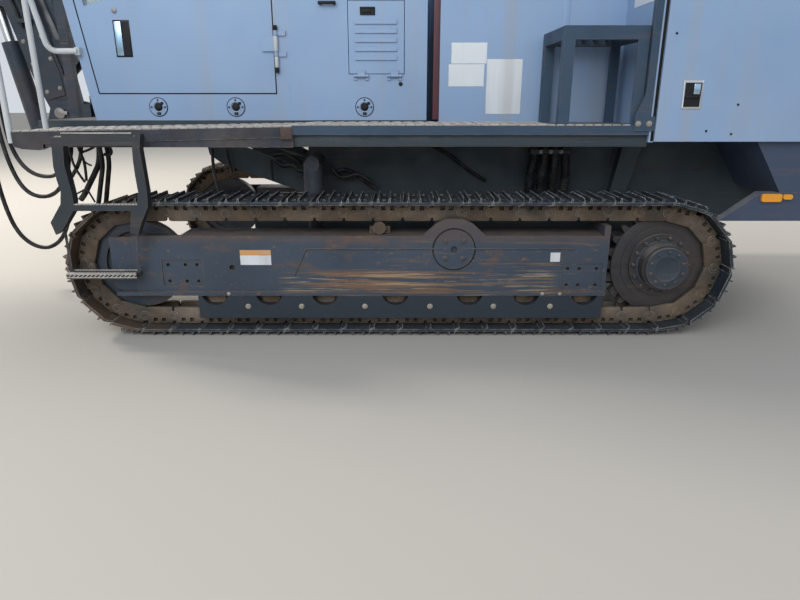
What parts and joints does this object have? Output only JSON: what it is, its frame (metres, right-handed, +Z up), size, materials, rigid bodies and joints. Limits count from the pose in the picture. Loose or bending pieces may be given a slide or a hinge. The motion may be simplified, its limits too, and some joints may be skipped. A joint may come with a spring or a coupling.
{
  "type": "crawler blasthole drill",
  "caption": "Self-propelled crawler drill with side cab, walkway, engine housings, and a boom that carries a long feed with rock drill and rod carousel.",
  "frame": {"origin": "on the ground under the middle of the machine's whole length and width, feed included", "axes": "+X towards the machine's rear, +Y towards its right side, +Z up"},
  "size_m": [8.6456, 2.465, 3.81],
  "materials": {
    "panel_grey": "semi-gloss, dusty",
    "frame_blue": "satin, scratched and dusty",
    "track_steel": "rusty and dusty",
    "grating_steel": "worn to rust on its edges",
    "rail_grey": "satin",
    "glass_pane": "clear",
    "seat_cloth": "matt",
    "dark_plastic": "matt",
    "engine_iron": "painted casting",
    "rod_chrome": "polished",
    "drill_rod_steel": "oiled",
    "cooler_black": "matt black",
    "exhaust_steel": "heat-stained",
    "hose_rubber": "matt",
    "amber_lens": "glossy"
  },
  "bodies": {
    "machine": {"cab_glass": "glass_pane", "cab_rear": "panel_grey", "cab_roof": "panel_grey", "cab_shell": "panel_grey", "chassis": "frame_blue", "console": "dark_plastic", "cooler": "cooler_black", "dust_collector": "panel_grey", "engine": "engine_iron", "exhaust": "exhaust_steel", "front_grating": "grating_steel", "handrails": "rail_grey", "hose_long": "hose_rubber", "hose_middle": "hose_rubber", "hose_post": "frame_blue", "hose_short": "hose_rubber", "hydraulic_tank": "panel_grey", "idler_left": "track_steel", "idler_right": "track_steel", "ladder": "grating_steel", "lower_step": "grating_steel", "lower_tank": "frame_blue", "marker_lamps": "amber_lens", "middle_housing": "panel_grey", "oscillation_cylinders": "frame_blue", "pivot_axle": "frame_blue", "rear_housing": "panel_grey", "rollers_left": "track_steel", "rollers_right": "track_steel", "seat": "seat_cloth", "sprocket_left": "track_steel", "sprocket_right": "track_steel", "step_box": "grating_steel", "swing_barrel": "frame_blue", "track_frame_left": "frame_blue", "track_frame_right": "frame_blue", "track_left": "track_steel", "track_right": "track_steel", "walkway": "frame_blue", "work_lamps": "dark_plastic"},
    "cab_door": {"cab_door": "panel_grey", "door_glass": "glass_pane"},
    "vent_door": {"vent_door": "panel_grey"},
    "engine_door_left": {"engine_door_left": "panel_grey"},
    "engine_door_right": {"engine_door_right": "panel_grey"},
    "swing_bracket": {"swing_bracket": "frame_blue"},
    "swing_rod": {"swing_rod": "rod_chrome"},
    "lift_barrel": {"lift_barrel": "frame_blue"},
    "lift_rod": {"lift_rod": "rod_chrome"},
    "boom": {"boom": "frame_blue"},
    "tilt_barrel": {"tilt_barrel": "frame_blue"},
    "tilt_rod": {"tilt_rod": "rod_chrome"},
    "boom_head": {"boom_head": "frame_blue"},
    "feed_cradle": {"feed_cradle": "frame_blue"},
    "feed": {"feed_beam": "frame_blue", "drill_guide": "frame_blue", "dust_hood": "frame_blue"},
    "carousel": {"carousel": "drill_rod_steel"},
    "drill_head": {"drill_head": "frame_blue"},
    "drill_shank": {"drill_shank": "drill_rod_steel"}
  },
  "joints": [
    {"name": "cab_door_hinge", "type": "hinge", "parent": "machine", "child": "cab_door", "pos_m": [0.48076, -0.534, 2], "axis": [0, 0, 1], "range_deg": [0, 85]},
    {"name": "vent_door_hinge", "type": "hinge", "parent": "machine", "child": "vent_door", "pos_m": [1.10576, -0.532, 1.496], "axis": [1, 0, 0], "range_deg": [0, 90]},
    {"name": "engine_door_left_hinge", "type": "hinge", "parent": "machine", "child": "engine_door_left", "pos_m": [4.22876, -1.114, 1.8], "axis": [0, 0, 1], "range_deg": [0, 100]},
    {"name": "engine_door_right_hinge", "type": "hinge", "parent": "machine", "child": "engine_door_right", "pos_m": [4.22876, 1.114, 1.8], "axis": [0, 0, -1], "range_deg": [0, 100]},
    {"name": "boom_swing", "type": "hinge", "parent": "machine", "child": "swing_bracket", "pos_m": [-1.17724, 0.62, 1.185], "axis": [0, 0, -1], "range_deg": [-20, 20]},
    {"name": "boom_lift", "type": "hinge", "parent": "swing_bracket", "child": "boom", "pos_m": [-1.44724, 0.62, 1.25], "axis": [0, 1, 0], "range_deg": [-55, 0]},
    {"name": "feed_tilt", "type": "hinge", "parent": "boom", "child": "boom_head", "pos_m": [-1.90276, 0.62, 2.95003], "axis": [0, -1, 0], "range_deg": [0, 95]},
    {"name": "feed_swing", "type": "hinge", "parent": "boom_head", "child": "feed_cradle", "pos_m": [-1.90276, 0.62, 3.08503], "axis": [0, 0, 1], "range_deg": [-25, 25]},
    {"name": "feed_slide", "type": "slide", "parent": "feed_cradle", "child": "feed", "axis": [-1, 0, 0], "range_m": [0, 0.8]},
    {"name": "head_slide", "type": "slide", "parent": "feed", "child": "drill_head", "axis": [-1, 0, 0], "range_m": [0, 4.2]},
    {"name": "shank_spin", "type": "hinge", "parent": "drill_head", "child": "drill_shank", "pos_m": [1.94724, 0.62, 3.60003], "axis": [1, 0, 0], "continuous": true},
    {"name": "carousel_turn", "type": "hinge", "parent": "feed", "child": "carousel", "pos_m": [-3.30276, 1.03, 3.45003], "axis": [1, 0, 0], "continuous": true},
    {"name": "lift_barrel_turn", "type": "hinge", "parent": "swing_bracket", "child": "lift_barrel", "pos_m": [-1.70724, 0.62, 1.045], "axis": [0, 1, 0], "range_deg": [-55, 0]},
    {"name": "lift_rod_slide", "type": "slide", "parent": "lift_barrel", "child": "lift_rod", "axis": [-0.1691, 0, 0.9856], "range_m": [-0.306, 0]},
    {"name": "tilt_barrel_turn", "type": "hinge", "parent": "boom", "child": "tilt_barrel", "pos_m": [-1.34309, 0.62, 1.69202], "axis": [0, -1, 0], "range_deg": [-0.6, 0]},
    {"name": "tilt_rod_slide", "type": "slide", "parent": "tilt_barrel", "child": "tilt_rod", "axis": [-0.3017, 0, 0.9534], "range_m": [0, 0.354]},
    {"name": "swing_rod_slide", "type": "slide", "parent": "machine", "child": "swing_rod", "axis": [-1, 0, 0], "range_m": [-0.0895, 0.0895]}
  ],
  "couplings": [
    {"joint": "lift_barrel_turn", "follows": "boom_lift", "ratio": 0.99317},
    {"joint": "lift_rod_slide", "follows": "boom_lift", "m_per_rad": 0.31846},
    {"joint": "tilt_barrel_turn", "follows": "feed_tilt", "ratio": -0.00619},
    {"joint": "tilt_rod_slide", "follows": "feed_tilt", "m_per_rad": 0.21327},
    {"joint": "swing_rod_slide", "follows": "boom_swing", "m_per_rad": -0.2547}
  ]
}
